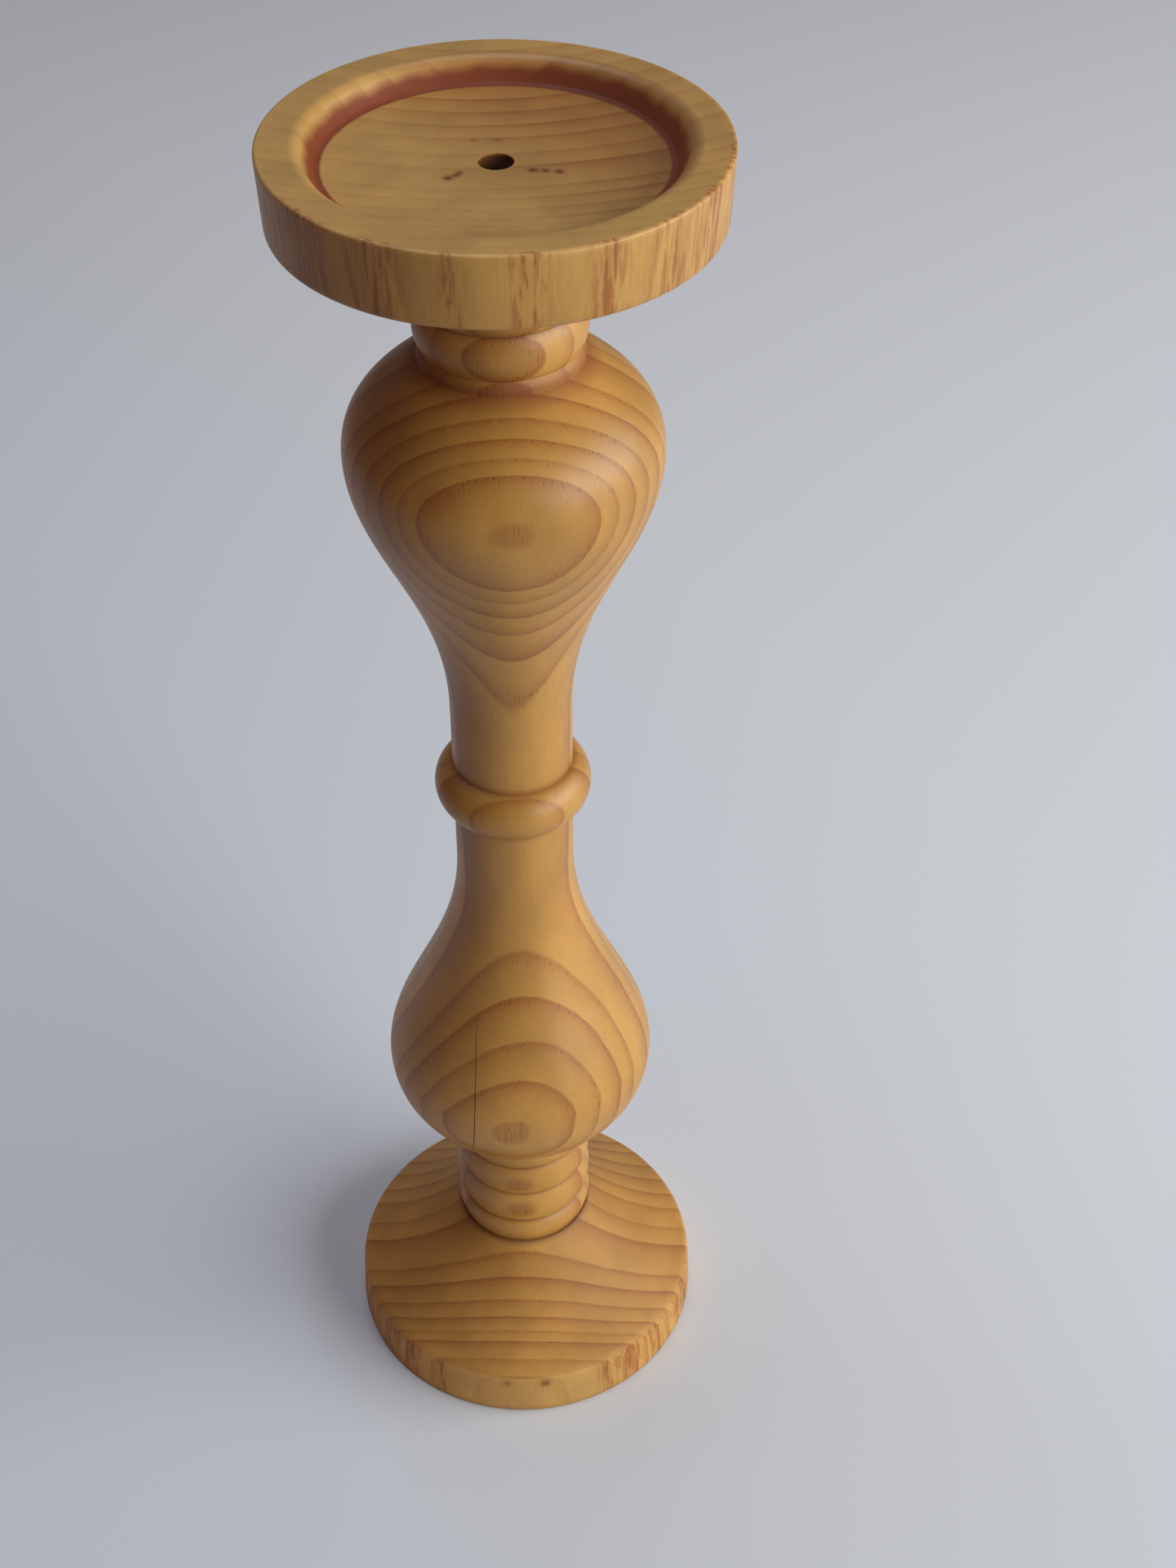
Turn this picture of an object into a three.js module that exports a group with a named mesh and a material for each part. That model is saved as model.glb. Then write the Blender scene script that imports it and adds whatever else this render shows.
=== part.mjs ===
// A turned ash candle holder for one pillar candle, in millimetres with +Z up.
// The grain of the wood runs along Z in the base, the stem and the dish.
// The origin is the middle of the base's underside, and Z is the axis of turning.
import * as THREE from "three";

// Fits between the pieces, and the distance under which two points count as one
const tenonClearance = 0.3;
const tenonEndGap = 0.6;
const screwClearance = 0.4;
const samePoint = 1e-6;

// Base: a thick disc with an upright wall and a sloping top that rises to the stem
const baseRadius = 53.4;
const baseWallDraft = 0.8;
const baseWallHeight = 15.6;
const baseRise = 26.9;
const baseSlopeHollow = 1.5;
const baseEdgeRounding = 2.6;
const baseArris = 1.2;
const landMargin = 0.5;

// Stem, from its foot to its head: lengths along the axis
const footBeadHeight = 8.8;
const middleBeadHeight = 13.1;
const upperBeadHeight = 12.2;
const lipHeight = 5.9;
const lowerBulbUnderside = 32.3;
const lowerBulbTaper = 77.2;
const neckStraight = 18.4;
const ringHeight = 15.2;
const upperBulbTaper = 78.3;
const upperBulbShoulder = 25.5;
const collarFilletHeight = 3.2;
const collarBeadHeight = 11.3;
const headBeadHeight = 10.15;

// Stem: radii, and the fullness of its curves
const beadRadius = 20.4;
const beadGrooveDepth = 1.6;
const footUndercut = 0.9;
const collarFilletRadius = 19.7;
const lipRadius = 19.9;
const bulbRadius = 38.5;
const neckRadius = 16;
const ringRadius = 20.9;
const undersideAngle = THREE.MathUtils.degToRad(40);
const undersideReach = 19;
const undersideFullness = 12;
const lowerCrownFullness = 18;
const lowerNeckSweep = 35;
const upperCrownFullness = 22;
const upperNeckSweep = 37;
const shoulderAngle = THREE.MathUtils.degToRad(56);
const shoulderReach = 14.4;
const shoulderFullness = 11.1;

// Tenons at the stem's ends, glued into the base and the dish
const footTenonRadius = 10;
const footTenonLength = 22;
const headTenonRadius = 9;
const headTenonLength = 3.5;
const tenonChamfer = 0.6;

// Dish: a disc with a shallow recess for the candle and a hole down its middle
const dishRadius = 52;
const dishDraft = 0.8;
const dishThickness = 17.4;
const rimWidth = 9;
const rimRounding = 0.9;
const undersideRounding = 1.3;
const recessDepth = 5.3;
const recessSlant = 3.8;
const recessLipRounding = 1.6;
const recessFootRounding = 0.9;
const screwHoleRadius = 4;
const screwHoleDepth = 5.3;

// Screws: a pan head down the dish's hole, and a countersunk head under the base
const shankRadius = 2.1;
const screwPointLength = 5;
const dishScrewLength = 38;
const panHeadRadius = 3.6;
const panHeadHeight = 2.4;
const panHeadCrown = 0.8;
const baseScrewLength = 46;
const sunkHeadRadius = 4.3;
const sunkHeadHeight = 2.3;
const sunkHeadRecess = 0.6;
const pilotRunOut = 1.5;

// Faces round the axis
const stemFaces = 48;
const discFaces = 56;
const screwFaces = 20;

// Heights where the pieces meet
const stemFootZ = baseWallHeight + baseRise;
const lipZ = stemFootZ + footBeadHeight + middleBeadHeight + upperBeadHeight;
const lowerBulbZ = lipZ + lipHeight + lowerBulbUnderside;
const ringZ = lowerBulbZ + lowerBulbTaper + neckStraight;
const upperBulbZ = ringZ + ringHeight + neckStraight + upperBulbTaper;
const collarZ = upperBulbZ + upperBulbShoulder + collarFilletHeight;
const dishUndersideZ = collarZ + collarBeadHeight + 2 * headBeadHeight;
const rimZ = dishUndersideZ + dishThickness;
const recessFloorZ = rimZ - recessDepth;
const screwSeatZ = recessFloorZ - screwHoleDepth;
const footSocketFloorZ = stemFootZ - footTenonLength - tenonEndGap;
const headSocketTopZ = dishUndersideZ + headTenonLength + tenonEndGap;
const sunkHeadZ = sunkHeadRecess + sunkHeadHeight;

// A point of a profile: its distance from the axis and its height.
function at(radius, height) {
  return new THREE.Vector2(radius, height);
}

// Rounds the corner between two straight runs, starting the round setBack away from it.
function rounded(before, corner, after, setBack, steps = 3) {
  const start = before.clone().sub(corner).setLength(setBack).add(corner);
  const end = after.clone().sub(corner).setLength(setBack).add(corner);
  return new THREE.QuadraticBezierCurve(start, corner, end).getPoints(steps);
}

// One bead between two grooves: a circular arc that stands out to its crest.
function bead(lowZ, height, grooveRadius, crestRadius, steps = 4) {
  const half = height / 2;
  const swell = crestRadius - grooveRadius;
  const arcRadius = (half * half + swell * swell) / (2 * swell);
  const halfTurn = Math.asin(Math.min(half / arcRadius, 1));
  const points = [];
  for (let step = 0; step <= steps; step += 1) {
    const turn = halfTurn * ((2 * step) / steps - 1);
    const radius = crestRadius - arcRadius + arcRadius * Math.cos(turn);
    points.push(at(radius, lowZ + half + arcRadius * Math.sin(turn)));
  }
  return points;
}

// A smooth run between two points, given the pull of the curve at each end.
function sweep(start, startPull, end, endPull, steps) {
  const curve = new THREE.CubicBezierCurve(
    start,
    start.clone().add(startPull),
    end.clone().add(endPull),
    end,
  );
  return curve.getPoints(steps);
}

// Drops points that repeat the one before, where two runs of a profile meet.
function withoutRepeats(points) {
  return points.filter((point, index) => index === 0 || point.distanceTo(points[index - 1]) > samePoint);
}

// Turns a profile about Z into a closed solid.
function turned(name, profile, faces, material) {
  const geometry = new THREE.LatheGeometry(withoutRepeats(profile), faces);
  geometry.rotateX(Math.PI / 2);
  const mesh = new THREE.Mesh(geometry, material);
  mesh.name = name;
  return mesh;
}

// Materials: stained ash with a satin lacquer, and plain steel screws
const stainedAsh = new THREE.MeshStandardMaterial({
  name: "stained_ash",
  color: 0xb98546,
  roughness: 0.42,
  metalness: 0,
});
const screwSteel = new THREE.MeshStandardMaterial({
  name: "screw_steel",
  color: 0x77757a,
  roughness: 0.4,
  metalness: 1,
});

// Base: the slope dips a little below a straight cone between its wall and its land
function baseProfile() {
  const landRadius = beadRadius - footUndercut + landMargin;
  const wallFoot = at(baseRadius, 0);
  const wallTop = at(baseRadius - baseWallDraft, baseWallHeight);
  const landEdge = at(landRadius, stemFootZ);
  const dip = at(
    (wallTop.x + landEdge.x) / 2,
    (wallTop.y + landEdge.y) / 2 - 2 * baseSlopeHollow,
  );
  const slope = new THREE.QuadraticBezierCurve(wallTop, dip, landEdge).getPoints(8);
  const socketRadius = footTenonRadius + tenonClearance;
  const boreRadius = shankRadius + screwClearance;
  const sinkRadius = sunkHeadRadius + screwClearance;
  const sinkMouth = at(sinkRadius, 0);
  return [
    sinkMouth,
    ...rounded(sinkMouth, wallFoot, wallTop, baseArris, 2),
    ...rounded(wallFoot, wallTop, slope[1], baseEdgeRounding, 4),
    ...slope.slice(1),
    at(socketRadius, stemFootZ),
    at(socketRadius, footSocketFloorZ),
    at(boreRadius, footSocketFloorZ),
    at(boreRadius, sunkHeadZ),
    at(sinkRadius, sunkHeadRecess),
    sinkMouth,
  ];
}

// Stem: one turned length with a tenon and a pilot hole at each end
function stemProfile() {
  const grooveRadius = beadRadius - beadGrooveDepth;
  const pilotRadius = shankRadius + screwClearance;
  const footTenonZ = stemFootZ - footTenonLength;
  const headTenonZ = dishUndersideZ + headTenonLength;
  const footPilotZ = sunkHeadRecess + baseScrewLength + pilotRunOut;
  const headPilotZ = screwSeatZ - dishScrewLength - pilotRunOut;
  const footBead = bead(stemFootZ, footBeadHeight, grooveRadius, beadRadius);
  const middleBeadZ = stemFootZ + footBeadHeight;
  const upperBeadZ = middleBeadZ + middleBeadHeight;
  const bulbStart = at(lipRadius, lipZ + lipHeight);
  const undersidePull = at(Math.sin(undersideAngle), Math.cos(undersideAngle));
  const lowerBelly = at(bulbRadius, lowerBulbZ);
  const lowerNeck = at(neckRadius, lowerBulbZ + lowerBulbTaper);
  const upperNeck = at(neckRadius, ringZ + ringHeight + neckStraight);
  const upperBelly = at(bulbRadius, upperBulbZ);
  const collarFoot = at(collarFilletRadius, collarZ - collarFilletHeight);
  const shoulderPull = at(Math.sin(shoulderAngle), -Math.cos(shoulderAngle));
  return [
    at(0, footPilotZ),
    at(pilotRadius, footPilotZ),
    at(pilotRadius, footTenonZ),
    at(footTenonRadius - tenonChamfer, footTenonZ),
    at(footTenonRadius, footTenonZ + tenonChamfer),
    at(footTenonRadius, stemFootZ),
    at(beadRadius - footUndercut, stemFootZ),
    ...footBead.slice(1),
    ...bead(middleBeadZ, middleBeadHeight, grooveRadius, beadRadius),
    ...bead(upperBeadZ, upperBeadHeight, grooveRadius, beadRadius),
    at(lipRadius, lipZ + lipHeight / 3),
    ...sweep(
      bulbStart,
      undersidePull.setLength(undersideReach),
      lowerBelly,
      at(0, -undersideFullness),
      6,
    ),
    ...sweep(lowerBelly, at(0, lowerCrownFullness), lowerNeck, at(0, -lowerNeckSweep), 8),
    ...bead(ringZ, ringHeight, neckRadius, ringRadius, 6),
    ...sweep(upperNeck, at(0, upperNeckSweep), upperBelly, at(0, -upperCrownFullness), 8),
    ...sweep(
      upperBelly,
      at(0, shoulderFullness),
      collarFoot,
      shoulderPull.setLength(shoulderReach),
      6,
    ),
    at(collarFilletRadius, collarZ - collarFilletHeight / 2),
    ...bead(collarZ, collarBeadHeight, grooveRadius, beadRadius),
    ...bead(collarZ + collarBeadHeight, headBeadHeight, grooveRadius, beadRadius),
    ...bead(dishUndersideZ - headBeadHeight, headBeadHeight, grooveRadius, beadRadius),
    at(headTenonRadius, dishUndersideZ),
    at(headTenonRadius, headTenonZ - tenonChamfer),
    at(headTenonRadius - tenonChamfer, headTenonZ),
    at(pilotRadius, headTenonZ),
    at(pilotRadius, headPilotZ),
    at(0, headPilotZ),
  ];
}

// Dish: the recess wall leans outward, with a rounded lip and a tight round at its foot
function dishProfile() {
  const mouthRadius = dishRadius - rimWidth;
  const floorRadius = mouthRadius - recessSlant;
  const socketRadius = headTenonRadius + tenonClearance;
  const boreRadius = shankRadius + screwClearance;
  const socketMouth = at(socketRadius, dishUndersideZ);
  const wallFoot = at(dishRadius - dishDraft, dishUndersideZ);
  const wallTop = at(dishRadius, rimZ);
  const recessLip = at(mouthRadius, rimZ);
  const recessFoot = at(floorRadius, recessFloorZ);
  const holeMouth = at(screwHoleRadius, recessFloorZ);
  return [
    socketMouth,
    ...rounded(socketMouth, wallFoot, wallTop, undersideRounding, 3),
    ...rounded(wallFoot, wallTop, recessLip, rimRounding, 3),
    ...rounded(wallTop, recessLip, recessFoot, recessLipRounding, 4),
    ...rounded(recessLip, recessFoot, holeMouth, recessFootRounding, 3),
    holeMouth,
    at(screwHoleRadius, screwSeatZ),
    at(boreRadius, screwSeatZ),
    at(boreRadius, headSocketTopZ),
    at(socketRadius, headSocketTopZ),
    socketMouth,
  ];
}

// Dish screw: its pan head sits on the step in the dish's hole, and it points down
function dishScrewProfile() {
  const tipZ = screwSeatZ - dishScrewLength;
  return [
    at(0, tipZ),
    at(shankRadius, tipZ + screwPointLength),
    at(shankRadius, screwSeatZ),
    at(panHeadRadius, screwSeatZ),
    at(panHeadRadius, screwSeatZ + panHeadHeight - panHeadCrown),
    at(panHeadRadius - panHeadCrown, screwSeatZ + panHeadHeight),
    at(0, screwSeatZ + panHeadHeight),
  ];
}

// Base screw: its countersunk head lies just inside the underside, and it points up
function baseScrewProfile() {
  const tipZ = sunkHeadRecess + baseScrewLength;
  return [
    at(0, sunkHeadRecess),
    at(sunkHeadRadius, sunkHeadRecess),
    at(shankRadius, sunkHeadZ),
    at(shankRadius, tipZ - screwPointLength),
    at(0, tipZ),
  ];
}

const candleHolder = new THREE.Group();
candleHolder.add(
  turned("base", baseProfile(), discFaces, stainedAsh),
  turned("stem", stemProfile(), stemFaces, stainedAsh),
  turned("dish", dishProfile(), discFaces, stainedAsh),
  turned("dish_screw", dishScrewProfile(), screwFaces, screwSteel),
  turned("base_screw", baseScrewProfile(), screwFaces, screwSteel),
);

export default candleHolder;
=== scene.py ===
# A turned ash candle holder: a round base, a baluster stem and a dish with a recess for
# one pillar candle, glued together at two tenons and drawn up by two steel screws.
import math

import bpy
from mathutils import Matrix, Vector


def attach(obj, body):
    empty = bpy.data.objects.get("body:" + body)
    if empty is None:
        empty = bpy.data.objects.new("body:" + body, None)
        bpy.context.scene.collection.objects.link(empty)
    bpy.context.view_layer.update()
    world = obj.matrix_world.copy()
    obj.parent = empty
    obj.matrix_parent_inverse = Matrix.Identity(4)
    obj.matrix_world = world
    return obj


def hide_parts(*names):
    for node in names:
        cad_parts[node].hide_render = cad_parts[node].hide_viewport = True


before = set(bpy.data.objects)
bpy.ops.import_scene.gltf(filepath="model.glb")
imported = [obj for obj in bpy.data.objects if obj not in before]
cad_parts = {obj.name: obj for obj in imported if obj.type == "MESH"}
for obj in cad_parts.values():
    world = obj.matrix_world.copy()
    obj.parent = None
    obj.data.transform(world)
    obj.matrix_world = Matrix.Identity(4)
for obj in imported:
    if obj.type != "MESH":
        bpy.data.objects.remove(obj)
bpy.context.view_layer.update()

# View of the holder
# The photograph looks down on the holder at 41 degrees from just in front of it, a little
# above the rim of the dish, with the stem standing upright in the middle of a tall frame.
camera_place = (0.0, -0.4549, 0.6169)
camera_pitch = math.radians(41.46)
camera_yaw = math.radians(2.526)
camera_roll = math.radians(0.072)
camera_lens = 51.86
film_height = 36.0

scene = bpy.context.scene
scene.view_settings.view_transform = "Standard"
view = bpy.data.cameras.new("view")
view.lens = camera_lens
view.sensor_width = film_height
view.clip_start = 0.01
camera = bpy.data.objects.new("camera", view)
scene.collection.objects.link(camera)
camera.matrix_world = (
    Matrix.Translation(camera_place)
    @ Matrix.Rotation(-camera_yaw, 4, "Z")
    @ Matrix.Rotation(math.pi / 2 - camera_pitch, 4, "X")
    @ Matrix.Rotation(camera_roll, 4, "Z")
)
scene.camera = camera


# Table and light
# The holder stands on a pale, slightly blue table. One broad window on its right lights it
# from low down, a little light falls from above, and a warm wall glows faintly on its left.
def linear(hex_value):
    """Turns an sRGB hex value into the linear colour that a shader takes."""
    channels = [int(hex_value[start:start + 2], 16) / 255 for start in (1, 3, 5)]
    bright = [c / 12.92 if c <= 0.04045 else ((c + 0.055) / 1.055) ** 2.4 for c in channels]
    return (*bright, 1.0)


def add_node(tree, kind, inputs=None, out=0, stops=None, **settings):
    """Adds a shader node with its settings, ramp stops and inputs, and gives one output.

    An input is a plain value or the output of another node.
    """
    added = tree.nodes.new("ShaderNode" + kind)
    for setting, value in settings.items():
        setattr(added, setting, value)
    if stops:
        ramp = added.color_ramp
        while len(ramp.elements) < len(stops):
            ramp.elements.new(1.0)
        for element, (place, shade) in zip(ramp.elements, stops):
            element.position = place
            element.color = (shade, shade, shade, 1.0)
    for socket, value in (inputs or {}).items():
        if isinstance(value, bpy.types.NodeSocket):
            tree.links.new(value, added.inputs[socket])
        else:
            added.inputs[socket].default_value = value
    return added.outputs[out] if added.outputs else added


def empty_material(name):
    """Starts a material with an empty node tree."""
    material = bpy.data.materials.new(name)
    material.use_nodes = True
    material.node_tree.nodes.clear()
    return material, material.node_tree


def rays_that_see(tree):
    """Gives 1 for a ray that shows the room itself: straight, through glass or in gloss."""
    straight = add_node(tree, "LightPath", out="Is Camera Ray")
    ways = straight.node.outputs
    seen = add_node(
        tree, "Math", {0: straight, 1: ways["Is Transmission Ray"]}, operation="MAXIMUM")
    return add_node(tree, "Math", {0: seen, 1: ways["Is Glossy Ray"]}, operation="MAXIMUM")


table_reach = 6.0
table_seen_left = "#e3edf6"
table_seen_right = "#f4fbfe"
# Painted light: the way along which the table is painted paler, towards the right and the back
painted_light_way = (1.2, 0.8, 0.0)
painted_light_start = -0.3
painted_light_end = 0.4
table_near = "#dcdad8"
table_far = "#4c4a48"
near_reach = 0.3
far_reach = 0.5

# Painted table, matt: it shows the soft shadow and no gloss. What it throws back onto the
# wood falls off from 0.3 to 0.5 m out, as from a small table in a darker room.
painted_table, tree = empty_material("painted_table")
table_place = add_node(tree, "TexCoord", out="Object")
reach = add_node(tree, "VectorMath", {0: table_place}, out="Value", operation="LENGTH")
past_edge = add_node(
    tree, "MapRange", {"Value": reach, "From Min": near_reach, "From Max": far_reach})
thrown_back = add_node(
    tree, "Mix", {0: past_edge, 6: linear(table_near), 7: linear(table_far)},
    out=2, data_type="RGBA")
# Painted light: the table is painted a touch paler towards the right and the back, where the window's
# light falls more brightly
along_table = add_node(
    tree, "VectorMath", {0: table_place, 1: painted_light_way}, out="Value", operation="DOT_PRODUCT")
painted_light_share = add_node(
    tree, "MapRange", {"Value": along_table, "From Min": painted_light_start, "From Max": painted_light_end})
seen_paint = add_node(
    tree, "Mix", {0: painted_light_share, 6: linear(table_seen_left), 7: linear(table_seen_right)},
    out=2, data_type="RGBA")
table_colour = add_node(
    tree, "Mix", {0: rays_that_see(tree), 6: thrown_back, 7: seen_paint}, out=2, data_type="RGBA")
table_paint = add_node(
    tree, "BsdfPrincipled", {"Base Color": table_colour, "Roughness": 0.9, "Specular IOR Level": 0.1})
add_node(tree, "OutputMaterial", {"Surface": table_paint})

table_mesh = bpy.data.meshes.new("table")
corners = [(-table_reach, -table_reach, 0), (table_reach, -table_reach, 0),
           (table_reach, table_reach, 0), (-table_reach, table_reach, 0)]
table_mesh.from_pydata(corners, [], [(0, 1, 2, 3)])
table_mesh.materials.append(painted_table)
table = bpy.data.objects.new("table", table_mesh)
scene.collection.objects.link(table)

# The room is a plain grey to the eye, and adds a faint warm glow to the holder
room_seen = "#6f6e6e"
room_glow = "#b07a58"
room_light = 0.11
room = bpy.data.worlds.new("room")
scene.world = room
room.use_nodes = True
tree = room.node_tree
tree.nodes.clear()
seen_room = add_node(tree, "Background", {"Color": linear(room_seen), "Strength": 1.0})
dim_room = add_node(tree, "Background", {"Color": linear(room_glow), "Strength": room_light})
mixed_room = add_node(tree, "MixShader", {0: rays_that_see(tree), 1: dim_room, 2: seen_room})
add_node(tree, "OutputWorld", {"Surface": mixed_room})


holder_middle = (0.0, 0.0, 0.2)


def hang_lamp(name, place, width, height, watts, colour):
    """Hangs a soft rectangular lamp at a place and turns it towards the holder."""
    data = bpy.data.lights.new(name, "AREA")
    data.shape = "RECTANGLE"
    data.size = width
    data.size_y = height
    data.energy = watts
    data.color = linear(colour)[:3]
    lamp = bpy.data.objects.new(name, data)
    scene.collection.objects.link(lamp)
    lamp.visible_camera = False
    lamp.location = place
    away = Vector(place) - Vector(holder_middle)
    lamp.rotation_euler = away.to_track_quat("Z", "Y").to_euler()


window_turn = math.radians(69)
window_rise = math.radians(18)
window_away = 2.2
window_place = (
    window_away * math.sin(window_turn) * math.cos(window_rise),
    -window_away * math.cos(window_turn) * math.cos(window_rise),
    holder_middle[2] + window_away * math.sin(window_rise),
)
hang_lamp("window", window_place, width=3.1, height=1.4, watts=66.0, colour="#fdfcfc")
hang_lamp("ceiling", (-0.2, 0.3, 1.9), width=1.2, height=1.2, watts=10.0, colour="#e9efff")
hang_lamp("warm wall", (-1.8, -0.7, 0.25), width=2.4, height=0.5, watts=1.2, colour="#ff6a28")


# Base
# A thick disc of ash, turned on a lathe with its grain standing upright, as in the stem. Its
# wall is almost upright and its top slopes up to the stem. Stained amber, then lacquered.

# Sizes of the holder are in millimetres, and its meshes are laid in metres
mm = 0.001
base_radius = 53.4
base_wall_draft = 0.8
base_wall_height = 15.6
base_rise = 26.9
base_slope_hollow = 1.5
base_edge_rounding = 2.6
base_arris = 1.2
land_margin = 0.5
bead_radius = 20.4
foot_undercut = 0.9
tenon_clearance = 0.3
tenon_end_gap = 0.6
screw_clearance = 0.4
foot_tenon_radius = 10.0
foot_tenon_length = 22.0
shank_radius = 2.1
sunk_head_radius = 4.3
sunk_head_height = 2.3
sunk_head_recess = 0.6
disc_faces = 240
stem_foot_z = base_wall_height + base_rise
land_edge = (bead_radius - foot_undercut + land_margin, stem_foot_z)
# Points nearer than this are one point, and an edge sharper than this stays sharp
touching = 1e-4
crease_angle = math.radians(38)


def curve_through(start, pull_start, pull_end, end, steps):
    """Points along a smooth curve from start to end, pulled towards two points between."""
    points = []
    for step in range(steps + 1):
        t = step / steps
        weights = ((1 - t) ** 3, 3 * (1 - t) ** 2 * t, 3 * (1 - t) * t ** 2, t ** 3)
        corners = (start, pull_start, pull_end, end)
        points.append(tuple(
            sum(weight * corner[axis] for weight, corner in zip(weights, corners))
            for axis in (0, 1)
        ))
    return points


def eased_corner(before, corner, after, set_back, steps=6):
    """Rounds the corner between two straight runs, starting set_back away from it."""
    def towards(other):
        length = math.dist(corner, other)
        return tuple(c + (o - c) * set_back / length for c, o in zip(corner, other))
    start = towards(before)
    end = towards(after)
    pulls = [tuple(c / 3 + 2 * k / 3 for c, k in zip(point, corner)) for point in (start, end)]
    return curve_through(start, pulls[0], pulls[1], end, steps)


def filled_in(profile, longest):
    """Splits the long runs of a profile, so that its mesh is even enough to bend and dent."""
    points = [profile[0]]
    for point in profile[1:]:
        gap = math.dist(points[-1], point)
        if gap < touching:
            continue
        last = points[-1]
        parts = max(1, math.ceil(gap / longest))
        for part in range(1, parts + 1):
            points.append(tuple(a + (b - a) * part / parts for a, b in zip(last, point)))
    return points


# What the finish of a piece says at each of its points
# The soaked finish carries painted shade as well as stain, and the paled finish painted light as well
# as wear
finish_kinds = ("soaked_and_shaded", "reddened", "paled_and_lit", "dulled", "dashed")


def turn_on_lathe(name, profile, turns, finish=None, shape=None):
    """Turns a profile of radius and height in mm about Z, on meridians at the given turns.

    finish gives how far the wood is soaked with stain and painted shade, reddened, paled by wear
    and painted light, dulled and marked with long dashes of pores at a point, each from 0 to 1, and
    shape may move the point.
    """
    closed = math.dist(profile[0], profile[-1]) < touching
    if closed:
        profile = profile[:-1]
    vertices = []
    laid = {kind: [] for kind in finish_kinds}
    rows = []
    for radius, height in profile:
        row = []
        for turn in turns if radius > touching else turns[:1]:
            given = finish(radius, height, turn) if finish else {}
            for kind in finish_kinds:
                laid[kind].append(given.get(kind, 0.0))
            put_radius, put_height, put_turn = (
                shape(radius, height, turn) if shape else (radius, height, turn))
            row.append(len(vertices))
            vertices.append((
                put_radius * math.sin(put_turn) * mm,
                -put_radius * math.cos(put_turn) * mm,
                put_height * mm))
        rows.append(row)
    faces = []
    count = len(turns)
    pairs = list(zip(rows, rows[1:])) + ([(rows[-1], rows[0])] if closed else [])
    for low, high in pairs:
        for index in range(count):
            after = (index + 1) % count
            corners = [low[index % len(low)], low[after % len(low)],
                       high[after % len(high)], high[index % len(high)]]
            faces.append(list(dict.fromkeys(corners)))
    mesh = bpy.data.meshes.new(name)
    mesh.from_pydata(vertices, [], faces)
    for kind, values in laid.items():
        mesh.attributes.new(kind, "FLOAT", "POINT").data.foreach_set("value", values)
    mesh.validate()
    mesh.shade_smooth()
    mesh.set_sharp_from_angle(angle=crease_angle)
    turned = bpy.data.objects.new(name, mesh)
    scene.collection.objects.link(turned)
    return turned


def even_turns(count):
    """The angles of meridians spaced evenly round the axis."""
    return [2 * math.pi * index / count for index in range(count)]


def base_profile():
    """The base from the mouth of its screw's sink, out and over, and back up its socket."""
    wall_foot = (base_radius, 0.0)
    wall_top = (base_radius - base_wall_draft, base_wall_height)
    dip = ((wall_top[0] + land_edge[0]) / 2,
           (wall_top[1] + land_edge[1]) / 2 - 2 * base_slope_hollow)
    pulls = [tuple(e / 3 + 2 * d / 3 for e, d in zip(end, dip)) for end in (wall_top, land_edge)]
    slope = curve_through(wall_top, pulls[0], pulls[1], land_edge, steps=24)
    # The rounding of the edge takes the place of the slope's first steps
    beyond_rounding = slope[3:]
    socket_radius = foot_tenon_radius + tenon_clearance
    socket_floor_z = stem_foot_z - foot_tenon_length - tenon_end_gap
    bore_radius = shank_radius + screw_clearance
    sink_radius = sunk_head_radius + screw_clearance
    sink_mouth = (sink_radius, 0.0)
    return [
        sink_mouth,
        *eased_corner(sink_mouth, wall_foot, wall_top, base_arris),
        *eased_corner(wall_foot, wall_top, beyond_rounding[0], base_edge_rounding, steps=10),
        *beyond_rounding,
        (socket_radius, stem_foot_z),
        (socket_radius, socket_floor_z),
        (bore_radius, socket_floor_z),
        (bore_radius, sunk_head_recess + sunk_head_height),
        (sink_radius, sunk_head_recess),
        sink_mouth,
    ]


# Brown spots on the wall, each with its place, its reach and how dark it is
base_marks = [
    ((4.8, -52.5, 13.3), 1.5, 0.8),
    ((-7.1, -52.2, 13.5), 1.2, 0.6),
]


def pooled(radius, height, grooves, reach):
    """How much stain pooled at a point of a profile, from 0 to 1, by its nearest groove."""
    near = min(math.dist((radius, height), groove) for groove in grooves)
    return math.exp(-((near / reach) ** 2))


def spotted(radius, height, turn, marks):
    """How dark the spots are at a point of the surface, from 0 to 1."""
    place = (radius * math.sin(turn), -radius * math.cos(turn), height)
    return max(
        darkness * math.exp(-((math.dist(place, spot) / reach) ** 2))
        for spot, reach, darkness in marks
    )


# Where long dashes of pores stand on the wall: each group's turn and half its width in degrees
base_dashes = [(-55, 5), (-45, 5), (-32, 3), (29, 5), (38, 6), (49, 5), (70, 12), (-75, 10)]

# How far the pool of stain by the stem, the painted shadow along the foot and the wall's skin reach
land_pool_reach = 1.0
foot_shadow_reach = 1.3
wall_skin = 2.2


def angle_past(turn, start):
    """The angle from start to a turn, between minus and plus half a turn."""
    return (turn - start + math.pi) % (2 * math.pi) - math.pi


def held(value, most=1.0):
    """A value held between 0 and the most that it may be."""
    return max(0.0, min(most, value))


def grouped(turn, groups):
    """How strongly a turn falls within the groups of dashes, from 0 to 1."""
    degrees = math.degrees(angle_past(turn, 0.0))
    return max(math.exp(-(((degrees - middle) / half) ** 2)) for middle, half in groups)


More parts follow.
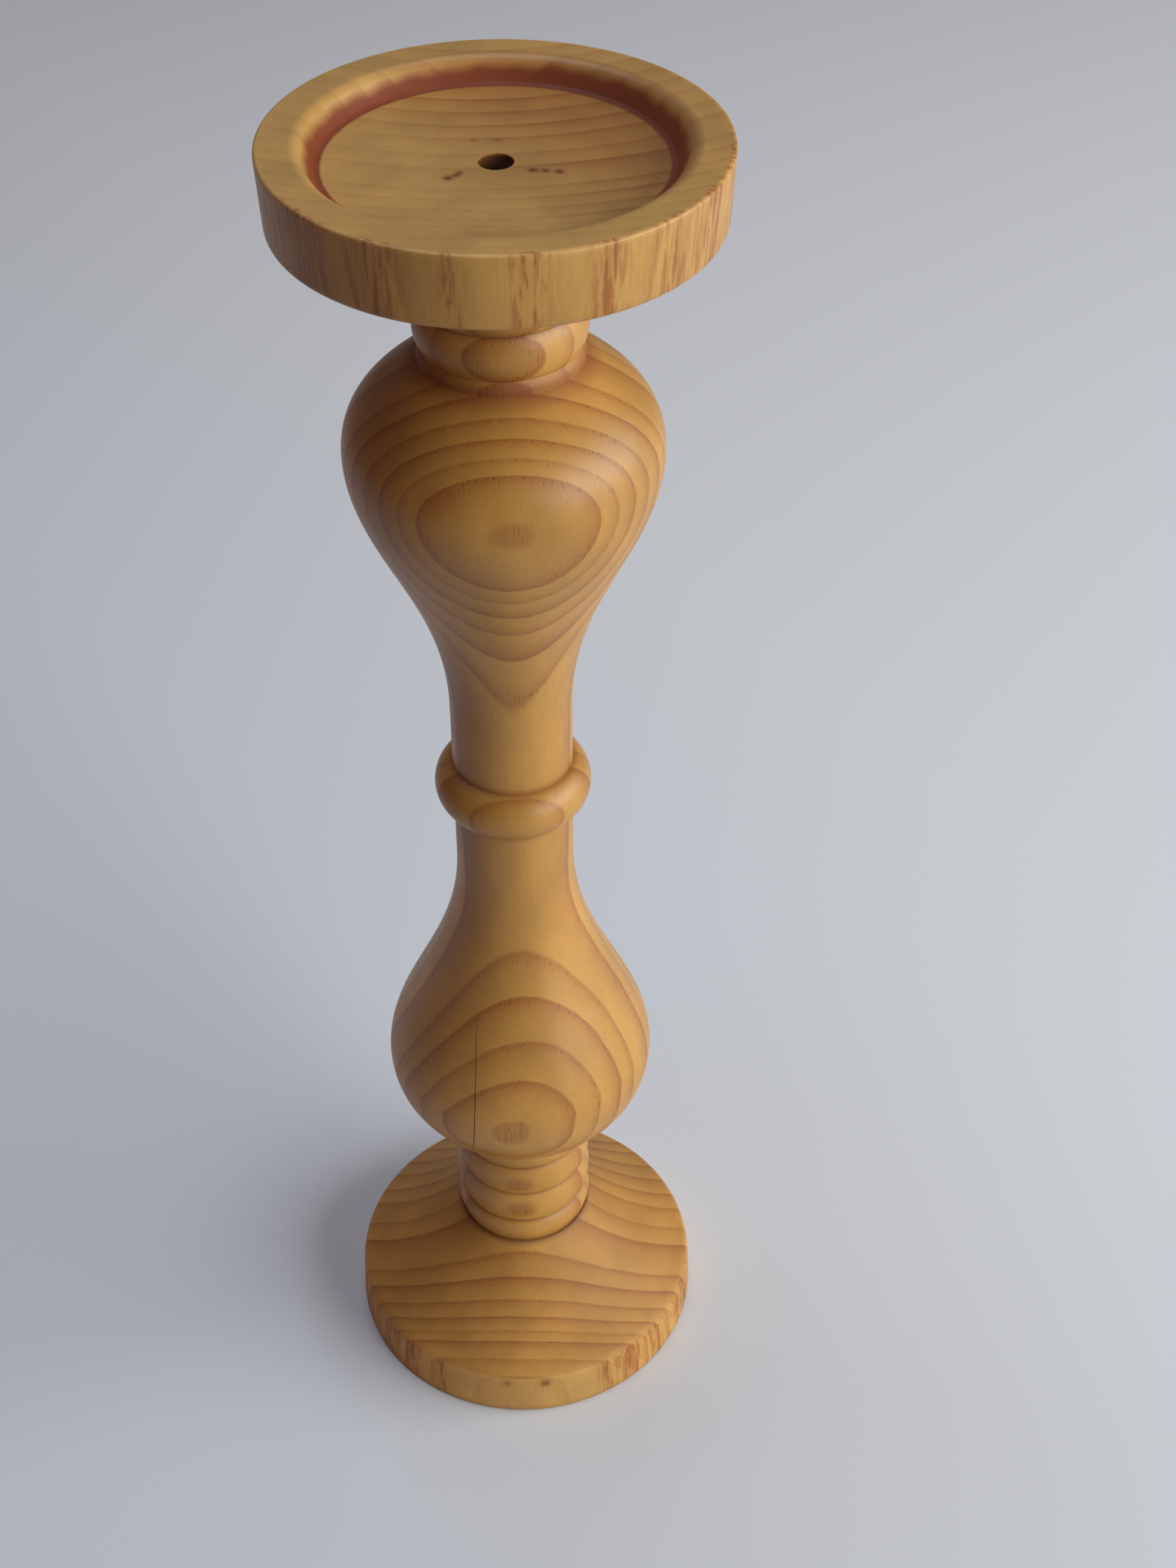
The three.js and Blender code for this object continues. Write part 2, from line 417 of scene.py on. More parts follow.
def base_finish(radius, height, turn):
    """Stain pooled by the stem, painted shadow along the foot and painted shade on the slope's right;
    the wall is pale, paler still at the front with painted light.
    """
    pool = 0.75 * pooled(radius, height, [land_edge], land_pool_reach)
    on_wall = held(radius - base_radius + wall_skin) if height < base_wall_height else 0.0
    # Painted shadow: the wall is darkened at its foot, where it meets the table
    painted_foot_shadow = 0.45 * math.exp(-((height / foot_shadow_reach) ** 2)) * on_wall
    # The wall is pale all round; its extra paleness at the front is painted light from the table
    front = held((math.cos(turn) - 0.8) / 0.1)
    spots = spotted(radius, height, turn, base_marks)
    # Painted shade: the slope is darkened towards its right, where the window lights it most
    painted_right_shade = 0.16 * max(0.0, math.sin(turn)) if height > base_wall_height else 0.0
    return {
        "soaked_and_shaded": max(pool, painted_foot_shadow, 0.4 * spots, painted_right_shade),
        "reddened": spots,
        "paled_and_lit": on_wall * (0.3 + 0.45 * front),
        "dulled": 1.0,
        "dashed": on_wall * grouped(turn, base_dashes),
    }


base_disc = turn_on_lathe(
    "base_disc", filled_in(base_profile(), longest=1.6), even_turns(disc_faces),
    finish=base_finish)

# Stained ash under a satin lacquer. The eye sees years that each begin with a sharp line of
# open pores in a brown band, fade to pale dense wood, and match through all three pieces,
# since they come from one blank. On the sides the pores are short upright dashes.

# The pith runs behind the blank, a little crooked. At each height it lies so far to the right
# of the axis and so far behind it. The first year drawn lies 17 mm from it, and then come the
# widths of the years, out to the front of the bulbs.
blank_length = 400.0
pith_run = [(0, 6, 92.5), (30, 6, 93.2), (60, 6, 96.7), (90, 10, 95.4), (110, 13, 94.4),
            (122, 7, 95.6), (134, 1, 97.0), (148, -4, 98.3), (160, -5, 98.5), (174, -5, 98.0),
            (195, -5, 98.5), (218, -5, 99.6), (268, -6, 100.3), (322, -2, 102.1), (400, -2, 104.7)]
first_year = 17.0
year_widths = [6.6, 7.6, 6.8, 7.4, 6.4, 7.6, 6.6, 7.4, 6.7, 6.8, 6.2, 7.8, 6.1,
               10.0, 4.6, 4.9, 3.8, 3.3, 2.4, 4.37, 4.1, 4.1, 4.1, 4.1]
# Some years show more strongly than others, and all are faint where the wood is paled, by rubbing and
# by painted light
faintest_year = 0.44
year_spread = 0.4
rubbed_year = 0.1
# The tree grew a little unevenly, by 1.4 mm over 30 mm across and over 160 mm along the grain
drift_reach = 1.4
drift_across = 30
drift_along = 160
# Pores are 0.3 mm wide; here they are drawn 0.5 mm wide and about 4 mm long, so they show
pore_cell_across = 0.95
pore_cell_along = 7.5
pore_core = 0.2
pore_edge = 0.34
pore_depth = 0.08
pore_darkness = 0.28
# On the walls of the discs many pores run together into brown streaks, 0.6 by 8 mm
dash_cell_across = 1.3
dash_cell_along = 11
dash_darkness = 0.9
# Fibres are 0.02 mm wide; here they are drawn as streaks 0.5 mm wide and 16 mm long
fibre_across = 0.5
fibre_along = 16
# The wood took the stain unevenly, in patches of about 14 by 30 mm
patch_across = 14
patch_along = 30
ash_pale = "#cd9b4c"
ash_worn = "#d6ab60"
ash_brown = "#a4642a"
ash_deep = "#5c2a10"
ash_red = "#8c3305"

honey_stained_ash, tree = empty_material("honey_stained_ash")
in_mm = add_node(
    tree, "VectorMath", {0: add_node(tree, "TexCoord", out="Object"), "Scale": 1 / mm},
    operation="SCALE")
height_mm = add_node(tree, "SeparateXYZ", {0: in_mm}, out="Z")
drift_place = add_node(
    tree, "VectorMath", {0: in_mm, 1: (1 / drift_across, 1 / drift_across, 1 / drift_along)},
    operation="MULTIPLY")
drift = add_node(
    tree, "TexNoise", {"Vector": drift_place, "Scale": 1.0, "Detail": 3.0, "Roughness": 0.5},
    out="Color")
grown = add_node(
    tree, "VectorMath", {0: drift, 1: (drift_reach, drift_reach, 0.0), 2: in_mm},
    operation="MULTIPLY_ADD")
height_share = add_node(tree, "Math", {0: height_mm, 1: 1 / blank_length}, operation="MULTIPLY")
# The pith's way to the right and then its way back, each a curve between its least and most
pith_ways = []
for column, least, most in ((1, -20.0, 20.0), (2, 85.0, 110.0)):
    way = add_node(tree, "FloatCurve", {"Value": height_share})
    bends = way.node.mapping.curves[0].points
    places = [(bend[0] / blank_length, (bend[column] - least) / (most - least)) for bend in pith_run]
    bends[0].location = places[0]
    bends[1].location = places[-1]
    for place in places[1:-1]:
        bends.new(*place)
    way.node.mapping.update()
    pith_ways.append(add_node(
        tree, "MapRange",
        {"Value": way, "To Min": least + drift_reach / 2, "To Max": most + drift_reach / 2}))
pith = add_node(
    tree, "CombineXYZ", {"X": pith_ways[0], "Y": pith_ways[1], "Z": height_mm})
from_pith = add_node(tree, "VectorMath", {0: grown, 1: pith}, operation="SUBTRACT")
growth_radius = add_node(tree, "VectorMath", {0: from_pith}, out="Value", operation="LENGTH")
last_year = first_year + sum(year_widths)
grown_share = add_node(
    tree, "MapRange", {"Value": growth_radius, "From Min": first_year, "From Max": last_year})
year_share = add_node(tree, "FloatCurve", {"Value": grown_share})
curve = year_share.node.mapping.curves[0]
for count in range(1, len(year_widths)):
    curve.points.new(sum(year_widths[:count]) / sum(year_widths), count / len(year_widths))
for point in curve.points:
    point.handle_type = "VECTOR"
year_share.node.mapping.update()
years = add_node(
    tree, "Math", {0: year_share, 1: float(len(year_widths))}, operation="MULTIPLY")
season = add_node(tree, "Math", {0: years}, operation="FRACT")
year = add_node(tree, "Math", {0: years}, operation="FLOOR")
spring_wood = add_node(
    tree, "ValToRGB", {"Fac": season},
    stops=[(0.0, 0.9), (0.05, 1.0), (0.2, 0.6), (0.42, 0.3), (0.7, 0.1), (0.95, 0.0), (1.0, 0.5)])
soaked_and_shaded, reddened, paled_and_lit, dulled, dashed = (
    add_node(tree, "Attribute", out="Fac", attribute_name=kind) for kind in finish_kinds)
year_luck = add_node(tree, "TexWhiteNoise", {"W": year}, out="Value", noise_dimensions="1D")
year_strength = add_node(
    tree, "Math", {0: year_luck, 1: year_spread, 2: faintest_year}, operation="MULTIPLY_ADD")
year_strength = add_node(
    tree, "MapRange", {"Value": paled_and_lit, "To Min": year_strength, "To Max": rubbed_year})
brown_share = add_node(
    tree, "Math", {0: spring_wood, 1: year_strength}, operation="MULTIPLY", use_clamp=True)

pore_place = add_node(
    tree, "VectorMath",
    {0: in_mm, 1: (1 / pore_cell_across, 1 / pore_cell_across, 1 / pore_cell_along)},
    operation="MULTIPLY")
pore_reach = add_node(tree, "TexVoronoi", {"Vector": pore_place, "Scale": 1.0}, out="Distance")
open_pores = add_node(
    tree, "MapRange", {"Value": pore_reach, "From Min": pore_edge, "From Max": pore_core})
porous = add_node(
    tree, "ValToRGB", {"Fac": season},
    stops=[(0.0, 1.0), (0.16, 0.85), (0.3, 0.3), (0.5, 0.1), (0.97, 0.05), (1.0, 0.8)])
porous = add_node(tree, "MapRange", {"Value": paled_and_lit, "To Min": porous, "To Max": 0.0})
open_pores = add_node(
    tree, "Math", {0: open_pores, 1: porous}, operation="MULTIPLY", use_clamp=True)
dash_place = add_node(
    tree, "VectorMath",
    {0: in_mm, 1: (1 / dash_cell_across, 1 / dash_cell_across, 1 / dash_cell_along)},
    operation="MULTIPLY")
dash_reach = add_node(
    tree, "TexNoise", {"Vector": dash_place, "Scale": 1.0, "Detail": 3.0, "Roughness": 0.55})
dashes = add_node(
    tree, "MapRange", {"Value": dash_reach, "From Min": 0.47, "From Max": 0.6, "To Min": 0.15})
dashes = add_node(tree, "Math", {0: dashes, 1: dashed}, operation="MULTIPLY", use_clamp=True)

fibre_place = add_node(
    tree, "VectorMath", {0: in_mm, 1: (1 / fibre_across, 1 / fibre_across, 1 / fibre_along)},
    operation="MULTIPLY")
fibres = add_node(
    tree, "TexNoise", {"Vector": fibre_place, "Scale": 1.0, "Detail": 3.0, "Roughness": 0.6})
patch_place = add_node(
    tree, "VectorMath", {0: in_mm, 1: (1 / patch_across, 1 / patch_across, 1 / patch_along)},
    operation="MULTIPLY")
patches = add_node(tree, "TexNoise", {"Vector": patch_place, "Scale": 1.0, "Detail": 3.0})

# End grain faces up or down, since the grain stands upright
facing = add_node(tree, "NewGeometry", out="Normal")
end_grain = add_node(tree, "SeparateXYZ", {0: facing}, out="Z")
end_grain = add_node(tree, "Math", {0: end_grain, 1: end_grain}, operation="MULTIPLY")

pale_wood = add_node(
    tree, "Mix", {0: paled_and_lit, 6: linear(ash_pale), 7: linear(ash_worn)}, out=2, data_type="RGBA")
browned = add_node(
    tree, "Math", {0: dashes, 1: dash_darkness, 2: brown_share},
    operation="MULTIPLY_ADD", use_clamp=True)
wood = add_node(
    tree, "Mix", {0: browned, 6: pale_wood, 7: linear(ash_brown)}, out=2, data_type="RGBA")
fibre_shade = add_node(
    tree, "MapRange",
    {"Value": fibres, "From Min": 0.3, "From Max": 0.7, "To Min": 0.95, "To Max": 1.04})
patch_shade = add_node(
    tree, "MapRange",
    {"Value": patches, "From Min": 0.3, "From Max": 0.7, "To Min": 0.86, "To Max": 1.12})
shade = add_node(tree, "Math", {0: fibre_shade, 1: patch_shade}, operation="MULTIPLY")
wood = add_node(tree, "VectorMath", {0: wood, "Scale": shade}, operation="SCALE")
# End grain drinks more of the stain's red, where it isn't paled
drunk = add_node(tree, "MapRange", {"Value": paled_and_lit, "To Min": 0.1, "To Max": 0.0})
drunk = add_node(tree, "Math", {0: end_grain, 1: drunk}, operation="MULTIPLY")
reddened = add_node(tree, "Math", {0: drunk, 1: reddened}, operation="MAXIMUM", use_clamp=True)
wood = add_node(tree, "Mix", {0: reddened, 6: wood, 7: linear(ash_red)}, out=2, data_type="RGBA")
pore_stain = add_node(tree, "Math", {0: open_pores, 1: pore_darkness}, operation="MULTIPLY")
# Stain and painted shade both darken the wood towards ash_deep
soaked_and_shaded = add_node(tree, "Math", {0: pore_stain, 1: soaked_and_shaded}, operation="MAXIMUM", use_clamp=True)
wood = add_node(tree, "Mix", {0: soaked_and_shaded, 6: wood, 7: linear(ash_deep)}, out=2, data_type="RGBA")

relief = add_node(tree, "Math", {0: open_pores, 1: -1.5, 2: fibres}, operation="MULTIPLY_ADD")
grain_bump = add_node(
    tree, "Bump", {"Height": relief, "Strength": 0.3, "Distance": pore_depth * mm})
gloss = add_node(
    tree, "MapRange",
    {"Value": fibres, "From Min": 0.3, "From Max": 0.7, "To Min": 0.46, "To Max": 0.36})
gloss = add_node(
    tree, "Math", {0: dulled, 1: 0.3, 2: gloss}, operation="MULTIPLY_ADD", use_clamp=True)
lacquered = add_node(
    tree, "BsdfPrincipled",
    {"Base Color": wood, "Roughness": gloss, "IOR": 1.48, "Coat Weight": 0.12,
     "Coat Roughness": 0.36, "Coat IOR": 1.5, "Normal": grain_bump})
add_node(tree, "OutputMaterial", {"Surface": lacquered})

base_disc.data.materials.append(honey_stained_ash)
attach(base_disc, "root")
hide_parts("base")


# Stem
# One turned length of ash with its grain upright: three beads, two long bulbs with a ring
# between them, and beads under the dish. A tenon at each end is glued into a socket.
foot_bead_height = 8.8
middle_bead_height = 13.1
upper_bead_height = 12.2
lip_height = 5.9
lower_bulb_underside = 32.3
lower_bulb_taper = 77.2
neck_straight = 18.4
ring_height = 15.2
upper_bulb_taper = 78.3
upper_bulb_shoulder = 25.5
collar_fillet_height = 3.2
collar_bead_height = 11.3
head_bead_height = 10.15
bead_groove_depth = 1.6
collar_fillet_radius = 19.7
lip_radius = 19.9
bulb_radius = 38.5
neck_radius = 16.0
ring_radius = 20.9
underside_angle = math.radians(40)
underside_reach = 19.0
underside_fullness = 12.0
lower_crown_fullness = 18.0
lower_neck_sweep = 35.0
upper_crown_fullness = 22.0
upper_neck_sweep = 37.0
shoulder_angle = math.radians(56)
shoulder_reach = 14.4
shoulder_fullness = 11.1
head_tenon_radius = 9.0
head_tenon_length = 3.5
tenon_chamfer = 0.6
dish_screw_length = 38.0
base_screw_length = 46.0
pilot_run_out = 1.5
recess_depth = 5.3
screw_hole_depth = 5.3
dish_thickness = 17.4
stem_faces = 224

groove_radius = bead_radius - bead_groove_depth
middle_bead_z = stem_foot_z + foot_bead_height
upper_bead_z = middle_bead_z + middle_bead_height
lip_z = upper_bead_z + upper_bead_height
lower_bulb_z = lip_z + lip_height + lower_bulb_underside
ring_z = lower_bulb_z + lower_bulb_taper + neck_straight
upper_bulb_z = ring_z + ring_height + neck_straight + upper_bulb_taper
collar_z = upper_bulb_z + upper_bulb_shoulder + collar_fillet_height
head_bead_z = collar_z + collar_bead_height
dish_underside_z = head_bead_z + 2 * head_bead_height
top_bead_z = dish_underside_z - head_bead_height
rim_z = dish_underside_z + dish_thickness
recess_floor_z = rim_z - recess_depth
screw_seat_z = recess_floor_z - screw_hole_depth


def bead(low_z, height, root=groove_radius, crest=bead_radius, steps=14):
    """One bead between two grooves: a circular arc that stands out from its root to its crest."""
    half = height / 2
    swell = crest - root
    arc_radius = (half * half + swell * swell) / (2 * swell)
    half_turn = math.asin(min(half / arc_radius, 1))
    points = []
    for step in range(steps + 1):
        turn = half_turn * (2 * step / steps - 1)
        points.append((crest - arc_radius + arc_radius * math.cos(turn),
                       low_z + half + arc_radius * math.sin(turn)))
    return points


def bulb_run(start, start_pull, end, end_pull, steps):
    """A smooth run of the bulbs, given the pull of the curve at each end."""
    pulled_start = (start[0] + start_pull[0], start[1] + start_pull[1])
    pulled_end = (end[0] + end_pull[0], end[1] + end_pull[1])
    return curve_through(start, pulled_start, pulled_end, end, steps)


def stem_profile():
    """The stem from the pilot hole in its foot, over its surface, to the one in its head."""
    pilot = shank_radius + screw_clearance
    foot_tenon_z = stem_foot_z - foot_tenon_length
    head_tenon_z = dish_underside_z + head_tenon_length
    foot_pilot_z = sunk_head_recess + base_screw_length + pilot_run_out
    head_pilot_z = screw_seat_z - dish_screw_length - pilot_run_out
    bulb_start = (lip_radius, lip_z + lip_height)
    lower_belly = (bulb_radius, lower_bulb_z)
    lower_neck = (neck_radius, lower_bulb_z + lower_bulb_taper)
    upper_neck = (neck_radius, ring_z + ring_height + neck_straight)
    upper_belly = (bulb_radius, upper_bulb_z)
    collar_foot = (collar_fillet_radius, collar_z - collar_fillet_height)
    underside_pull = (underside_reach * math.sin(underside_angle),
                      underside_reach * math.cos(underside_angle))
    shoulder_pull = (shoulder_reach * math.sin(shoulder_angle),
                     -shoulder_reach * math.cos(shoulder_angle))
    return [
        (0.0, foot_pilot_z),
        (pilot, foot_pilot_z),
        (pilot, foot_tenon_z),
        (foot_tenon_radius - tenon_chamfer, foot_tenon_z),
        (foot_tenon_radius, foot_tenon_z + tenon_chamfer),
        (foot_tenon_radius, stem_foot_z),
        (bead_radius - foot_undercut, stem_foot_z),
        *bead(stem_foot_z, foot_bead_height)[2:],
        *bead(middle_bead_z, middle_bead_height),
        *bead(upper_bead_z, upper_bead_height),
        (lip_radius, lip_z + lip_height / 3),
        *bulb_run(bulb_start, underside_pull, lower_belly, (0, -underside_fullness), 24),
        *bulb_run(lower_belly, (0, lower_crown_fullness), lower_neck, (0, -lower_neck_sweep), 40),
        *bead(ring_z, ring_height, neck_radius, ring_radius, steps=20),
        *bulb_run(upper_neck, (0, upper_neck_sweep), upper_belly, (0, -upper_crown_fullness), 40),
        *bulb_run(upper_belly, (0, shoulder_fullness), collar_foot, shoulder_pull, 24),
        *eased_corner(collar_foot, (collar_fillet_radius, collar_z - collar_fillet_height / 2),
                      (groove_radius, collar_z), collar_fillet_height / 3, steps=4),
        *bead(collar_z, collar_bead_height),
        *bead(head_bead_z, head_bead_height),
        *bead(top_bead_z, head_bead_height),
        (head_tenon_radius, dish_underside_z),
        (head_tenon_radius, head_tenon_z - tenon_chamfer),
        (head_tenon_radius - tenon_chamfer, head_tenon_z),
        (pilot, head_tenon_z),
        (pilot, head_pilot_z),
        (0.0, head_pilot_z),
    ]


stem_grooves = [(bead_radius - foot_undercut, stem_foot_z)] + [
    (groove_radius, height)
    for height in (middle_bead_z, upper_bead_z, lip_z, head_bead_z, top_bead_z, dish_underside_z)]

# A fine drying check runs nearly straight up the grain in the lower bulb, open by 0.3 mm.
# Its side is how far it lies from the axis at its middle, and it leans by so much per mm.
check_turn = math.radians(-21.5)
check_side = -13.4
check_lean = 0.053
check_half_width = 0.17
check_depth = 0.6
check_middle_z = 126.0
check_half_length = 24.0
check_ease_turn = 0.3
check_ease_length = 12.0
same_turn = 1e-6


def check_share(height):
    """How open the drying check is at a height, from 0 at its ends to 1."""
    off = (height - check_middle_z) / check_half_length
    return max(0.0, 1 - off ** 2)


def stem_turns():
    """Even meridians, with five close together where the drying check runs."""
    edge = check_half_width / bulb_radius
    turns = [turn for turn in even_turns(stem_faces) if abs(angle_past(turn, check_turn)) > 3 * edge]
    return sorted(turns + [(check_turn + step * edge) % (2 * math.pi) for step in (-2, -1, 0, 1, 2)])


def checked(radius, height, turn):
    """Opens the check: its middle meridian sinks in, and those near it shift to keep it straight."""
    off = abs(angle_past(turn, check_turn))
    beyond = abs(height - check_middle_z) - check_half_length
    near = held(1 - off / check_ease_turn) * held(1 - beyond / check_ease_length)
    if near == 0.0:
        return radius, height, turn
    side = check_side + check_lean * (height - check_middle_z)
    straight_turn = math.asin(max(-1.0, side / radius))
    sunk = check_depth * check_share(height) if off < same_turn else 0.0
    return radius - sunk, height, turn + (straight_turn - check_turn) * near


# Marks of dark stain on the stem, each with its place, its reach and how dark it is
stem_marks = [
    ((-15.8, -33.6, 330.0), 4.0, 0.3),
    ((-13.0, -35.0, 331.0), 3.0, 0.25),
]


# How far the stain reaches from the grooves, the ring's foot and top, and the collar's fillet
groove_stain_reach = 0.6
ring_stain_reach = 1.2
collar_stain_z = collar_z - 2.4
collar_stain_reach = 4.0
ring_grooves = [(neck_radius, ring_z), (neck_radius, ring_z + ring_height)]


def stem_finish(radius, height, turn):
    """Stain soaked into the grooves and the check, with painted shade for the check's depth, and
    reddened the shoulder and the marks.
    """
    in_groove = 0.55 * pooled(radius, height, stem_grooves, groove_stain_reach)
    on_check = abs(angle_past(turn, check_turn)) < same_turn
    # The check is darkened by stain in it and by painted shade of its depth
    in_check = held(2 * check_share(height)) if on_check else 0.0
    by_ring = pooled(radius, height, ring_grooves, ring_stain_reach)
    below_collar = max(0.0, 1 - abs(height - collar_stain_z) / collar_stain_reach)
    spots = spotted(radius, height, turn, stem_marks)
    return {
        "soaked_and_shaded": max(in_groove, 0.6 * in_check, 0.2 * by_ring, 0.3 * below_collar),
        "reddened": max(0.55 * below_collar, 0.7 * in_check, 0.4 * by_ring, spots),
        "dulled": below_collar,
    }


turned_stem = turn_on_lathe(
    "turned_stem", filled_in(stem_profile(), longest=2.0), stem_turns(),
    finish=stem_finish, shape=checked)
turned_stem.data.materials.append(honey_stained_ash)
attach(turned_stem, "root")
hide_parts("stem")


# Dish
# A disc of the same ash, turned with its grain upright too. A shallow recess with a leaning
# wall holds the candle, and a hole down its middle lets the screw's head in.
dish_radius = 52.0
dish_draft = 0.8
rim_width = 9.0
rim_rounding = 0.9
underside_rounding = 1.3
recess_slant = 3.8
recess_lip_rounding = 1.6
recess_foot_rounding = 0.9
screw_hole_radius = 4.0
recess_lip = (dish_radius - rim_width, rim_z)
recess_foot = (dish_radius - rim_width - recess_slant, recess_floor_z)


def dish_profile():
    """The dish from the mouth of its socket, out and up its wall, and down its recess."""
    socket_radius = head_tenon_radius + tenon_clearance
    bore_radius = shank_radius + screw_clearance
    socket_top_z = dish_underside_z + head_tenon_length + tenon_end_gap
    socket_mouth = (socket_radius, dish_underside_z)
    wall_foot = (dish_radius - dish_draft, dish_underside_z)
    wall_top = (dish_radius, rim_z)
    hole_mouth = (screw_hole_radius, recess_floor_z)
    return [
        socket_mouth,
        *eased_corner(socket_mouth, wall_foot, wall_top, underside_rounding),
        *eased_corner(wall_foot, wall_top, recess_lip, rim_rounding),
        *eased_corner(wall_top, recess_lip, recess_foot, recess_lip_rounding, steps=8),
        *eased_corner(recess_lip, recess_foot, hole_mouth, recess_foot_rounding),
        hole_mouth,
        (screw_hole_radius, screw_seat_z),
        (bore_radius, screw_seat_z),
        (bore_radius, socket_top_z),
        (socket_radius, socket_top_z),
        socket_mouth,
    ]


# Small brown marks on the recess floor, each with its place, its reach and how dark it is
dish_marks = [
    ((-4.7, 10.5, recess_floor_z), 1.2, 0.4),
    ((0.5, 10.3, recess_floor_z), 1.3, 0.4),
    ((-10.3, -7.3, recess_floor_z), 1.1, 0.95),
    ((-8.6, -6.2, recess_floor_z), 1.0, 0.9),
    ((-7.9, -5.0, recess_floor_z), 0.9, 0.8),
    ((7.9, -4.4, recess_floor_z), 1.1, 0.95),
    ((10.6, -4.6, recess_floor_z), 1.0, 0.9),
    ((13.5, -5.3, recess_floor_z), 1.1, 0.95),
]
# Groups of dashes on the dish's wall, by their turn and half their width in degrees
dish_dashes = [(-52, 8), (-29, 6), (-11, 3), (6.5, 5), (26, 5), (44, 6), (60, 9), (82, 14)]

# Stain reddened the recess wall up to a ragged edge, which stands higher at the right and back,
# where the rim shades the wall: that rise is painted shade, as is the darker foot there. Use has
# rubbed the rim pale; the floor is paler at the left front and darker and redder at the right back,
# partly from rubbing and partly painted shade of the rim.
foot_shade_reach = 1.6
foot_red_width = 1.2
red_edge = 0.28
red_edge_rise = 0.19
red_edge_raggedness = 0.07
red_rise = 2.4
deepest_red = 0.93
floor_redness_reach = 30
floor_paleness_reach = 32
wall_band = 1.0
rounded_wall_band = 1.5
hair = 0.01


def dish_finish(radius, height, turn):
    """The rim is rubbed pale, the front of the floor is paler, partly with painted light, the recess
    wall is deep red, and painted shade darkens the recess's right back, the hole and the tops.
    """
    down = (rim_z - height) / recess_depth
    in_recess = radius <= recess_lip[0] + recess_lip_rounding and down < 1 + hair
    right_back = 0.75 * math.sin(turn) - 0.65 * math.cos(turn)
    shaded = max(0.0, right_back)
    off_foot = math.dist((radius, height), recess_foot)
    # Painted shade: the foot of the recess wall is darkened at the right back, where the rim shades
    # it
    foot = shaded * math.exp(-((off_foot / foot_shade_reach) ** 2)) if in_recess else 0.0
    # Painted shade: the screw hole is darkened down its depth
    hole = 0.9 if radius <= screw_hole_radius + hair and height < recess_floor_z - 0.5 else 0.0
    red = 0.0
    if in_recess and radius > recess_foot[0] - foot_red_width:
        ragged = red_edge_raggedness * math.sin(23 * turn) * math.sin(9 * turn + 1)
        # Painted shade: the red edge stands higher at the right back, where the rim shades the wall
        below_edge = down - red_edge + red_edge_rise * shaded + ragged
        red = held(red_rise * below_edge, deepest_red)
    # The floor is redder towards the right back: partly stain, partly painted shade of the rim
    drunk = 0.28 * held(radius * right_back / floor_redness_reach) if in_recess else 0.0
    if radius > recess_foot[0] and down < 0.3:
        paled_and_lit = 0.85 - 0.25 * shaded * radius / dish_radius
    elif radius > dish_radius - rounded_wall_band:
        paled_and_lit = 0.5
    else:
        # The floor is paler towards the left front: partly rubbing, partly painted light
        paled_and_lit = held(0.5 - radius * right_back / floor_paleness_reach, 0.85)
    on_wall = radius > dish_radius - wall_band
    # Painted shade: the rim and the floor, which look up, are darkened a little against the light
    # from above
    painted_top_shade = 0.12 if height > recess_floor_z - hair and not on_wall else 0.0
    spots = spotted(radius, height, turn, dish_marks)
    return {
        "soaked_and_shaded": max(0.6 * foot, hole, 0.7 * spots, painted_top_shade, 0.3 * red),
        "reddened": max(red, spots, drunk),
        "paled_and_lit": paled_and_lit * (1.0 - red),
        "dulled": min(1.0, 1.5 * red),
        "dashed": grouped(turn, dish_dashes) if on_wall else 0.0,
    }


turned_dish = turn_on_lathe(
    "turned_dish", filled_in(dish_profile(), longest=0.7), even_turns(disc_faces),
    finish=dish_finish)
turned_dish.data.materials.append(honey_stained_ash)
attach(turned_dish, "root")
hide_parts("dish")


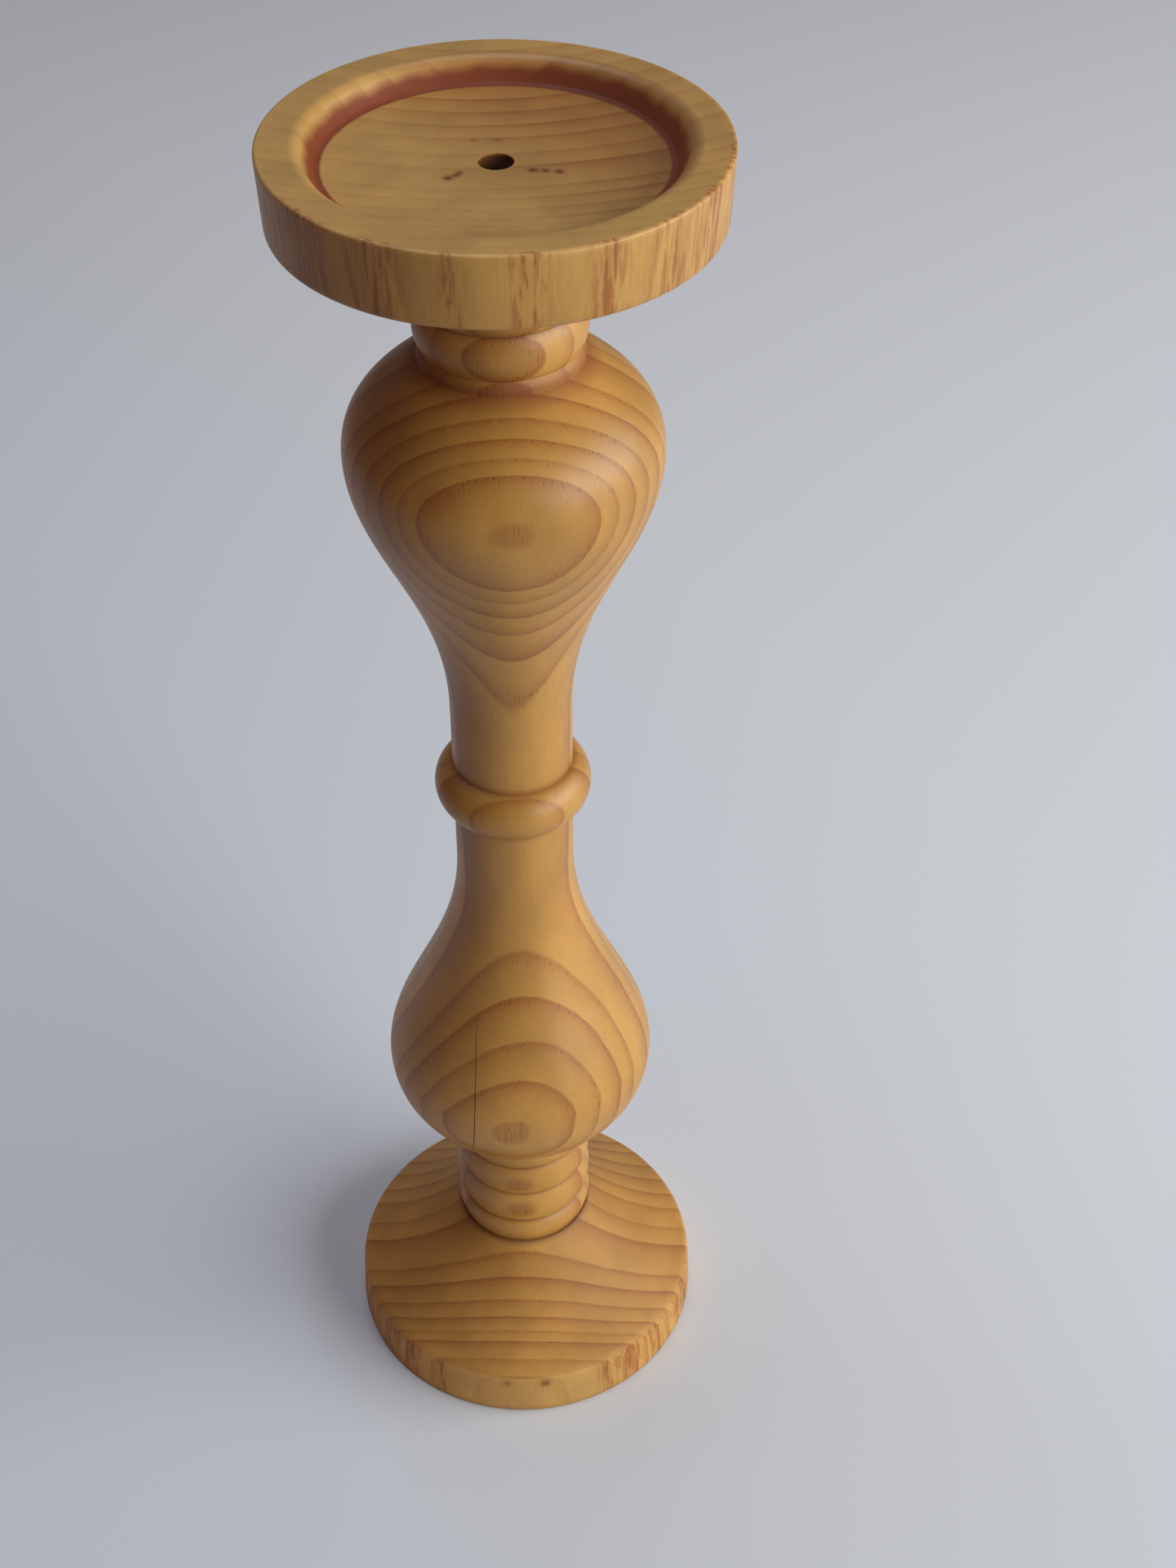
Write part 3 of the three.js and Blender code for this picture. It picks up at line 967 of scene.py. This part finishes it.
# Screws
# Two steel wood screws draw the joints up while the glue sets: a pan head deep in the dish's
# hole, where a candle covers it, and a countersunk head just inside the base's underside.
pan_head_radius = 3.6
pan_head_height = 2.4
pan_head_crown = 0.8
pan_head_flat = 1.2
screw_point_length = 5.0
screw_faces = 64


def screw_profile(tip_z, seat_z, head, direction):
    """A screw from its tip to the top of its head; direction is 1 where it points down."""
    point_z = tip_z + direction * screw_point_length
    return [(0.0, tip_z), (shank_radius, point_z), (shank_radius, seat_z), *head]


dish_screw_top = screw_seat_z + pan_head_height
dish_screw_head = [
    (pan_head_radius, screw_seat_z),
    *curve_through(
        (pan_head_radius, dish_screw_top - 2 * pan_head_crown),
        (pan_head_radius, dish_screw_top - pan_head_crown),
        (pan_head_radius - pan_head_crown, dish_screw_top),
        (pan_head_flat, dish_screw_top), steps=10),
    (0.0, dish_screw_top),
]
dish_screw_body = turn_on_lathe(
    "dish_screw_body",
    screw_profile(screw_seat_z - dish_screw_length, screw_seat_z, dish_screw_head, 1),
    even_turns(screw_faces))
base_screw_seat = sunk_head_recess + sunk_head_height
base_screw_head = [(sunk_head_radius, sunk_head_recess), (0.0, sunk_head_recess)]
base_screw_body = turn_on_lathe(
    "base_screw_body",
    screw_profile(sunk_head_recess + base_screw_length, base_screw_seat, base_screw_head, -1),
    even_turns(screw_faces))

# Zinc-plated steel gone dull: a grey metal with a soft shine, mottled in patches of 1.1 mm.
mottle_size = 1.1
zinc_plated_steel, tree = empty_material("zinc_plated_steel")
place = add_node(tree, "TexCoord", out="Object")
specks = add_node(
    tree, "TexNoise", {"Vector": place, "Scale": 1 / (mottle_size * mm), "Detail": 2.0})
dulling = add_node(tree, "MapRange", {"Value": specks, "To Min": 0.3, "To Max": 0.5})
plating = add_node(
    tree, "BsdfPrincipled",
    {"Base Color": linear("#8f9196"), "Metallic": 1.0, "Roughness": dulling})
add_node(tree, "OutputMaterial", {"Surface": plating})
for screw, node in ((dish_screw_body, "dish_screw"), (base_screw_body, "base_screw")):
    screw.data.materials.append(zinc_plated_steel)
    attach(screw, "root")
    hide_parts(node)
